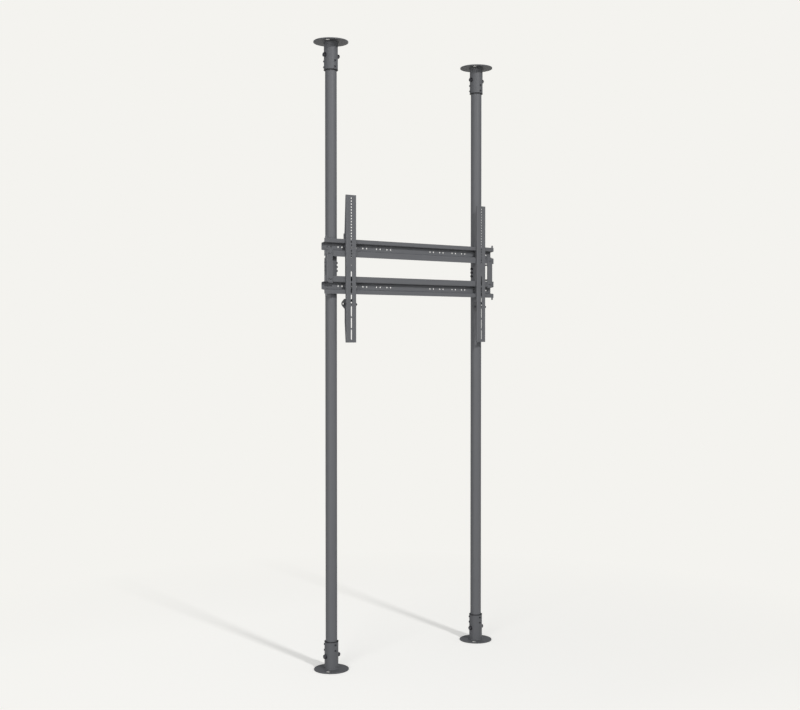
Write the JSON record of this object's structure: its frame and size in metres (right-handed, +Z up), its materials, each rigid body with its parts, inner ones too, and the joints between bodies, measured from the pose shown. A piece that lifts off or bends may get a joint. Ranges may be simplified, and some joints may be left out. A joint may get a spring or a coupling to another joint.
{
  "type": "floor-to-ceiling tv mount",
  "caption": "Round poles in flanged floor and ceiling sockets carry folded rails, on which slotted arms for a flat screen slide and latch.",
  "frame": {"origin": "on the floor, midway between the axes of the poles", "axes": "+X right along the rails seen from the screen side, +Y back from the screen side, +Z up"},
  "size_m": [0.97, 0.15, 2.7],
  "materials": {
    "pole_coat": "satin graphite powder coat",
    "socket_coat": "satin graphite powder coat",
    "bracket_coat": "satin graphite powder coat",
    "latch_coat": "satin graphite powder coat",
    "bush_plastic": "moulded black nylon",
    "black_steel": "blackened steel",
    "spring_steel": "drawn spring wire",
    "zinc_plate": "zinc plated steel"
  },
  "bodies": {
    "frame": {"bracket_bolts_left": "black_steel", "bracket_bolts_right": "black_steel", "bracket_nuts_left": "black_steel", "bracket_nuts_right": "black_steel", "bracket_washers_left": "black_steel", "bracket_washers_right": "black_steel", "ceiling_bolt_nut_left": "black_steel", "ceiling_bolt_nut_right": "black_steel", "ceiling_bolt_washers_left": "black_steel", "ceiling_bolt_washers_right": "black_steel", "ceiling_cross_bolt_left": "black_steel", "ceiling_cross_bolt_right": "black_steel", "ceiling_set_screws_left": "black_steel", "ceiling_set_screws_right": "black_steel", "ceiling_socket_bush_left": "bush_plastic", "ceiling_socket_bush_right": "bush_plastic", "ceiling_socket_left": "socket_coat", "ceiling_socket_right": "socket_coat", "floor_bolt_nut_left": "black_steel", "floor_bolt_nut_right": "black_steel", "floor_bolt_washers_left": "black_steel", "floor_bolt_washers_right": "black_steel", "floor_cross_bolt_left": "black_steel", "floor_cross_bolt_right": "black_steel", "floor_set_screws_left": "black_steel", "floor_set_screws_right": "black_steel", "floor_socket_bush_left": "bush_plastic", "floor_socket_bush_right": "bush_plastic", "floor_socket_left": "socket_coat", "floor_socket_right": "socket_coat", "pole_bracket_left": "bracket_coat", "pole_bracket_right": "bracket_coat", "pole_left": "pole_coat", "pole_right": "pole_coat", "rail_bottom": "bracket_coat", "rail_nuts_left": "black_steel", "rail_nuts_right": "black_steel", "rail_screws_left": "bracket_coat", "rail_screws_right": "bracket_coat", "rail_top": "bracket_coat"},
    "arm_left": {"arm_left": "bracket_coat", "lock_bolt_left": "black_steel", "lock_nut_left": "black_steel", "lock_spacer_left": "zinc_plate", "lock_washer_left": "black_steel"},
    "arm_right": {"arm_right": "bracket_coat", "lock_bolt_right": "black_steel", "lock_nut_right": "black_steel", "lock_spacer_right": "zinc_plate", "lock_washer_right": "black_steel"},
    "latch_left": {"lock_latch_left": "latch_coat", "lock_spring_left": "spring_steel"},
    "latch_right": {"lock_latch_right": "latch_coat", "lock_spring_right": "spring_steel"}
  },
  "joints": [
    {"name": "arm_left_slide", "type": "slide", "parent": "frame", "child": "arm_left", "axis": [1, 0, 0], "range_m": [-0.062, 0.306]},
    {"name": "arm_right_slide", "type": "slide", "parent": "frame", "child": "arm_right", "axis": [1, 0, 0], "range_m": [-0.35, 0.018]},
    {"name": "latch_left_turn", "type": "hinge", "parent": "arm_left", "child": "latch_left", "pos_m": [-0.346, -0.053, 1.5755], "axis": [-1, 0, 0], "range_deg": [0, 22], "stiffness_Nm_per_rad": 0.05, "springref_deg": -28.65},
    {"name": "latch_right_turn", "type": "hinge", "parent": "arm_right", "child": "latch_right", "pos_m": [0.39, -0.053, 1.5755], "axis": [-1, 0, 0], "range_deg": [0, 22], "stiffness_Nm_per_rad": 0.05, "springref_deg": -28.65}
  ]
}
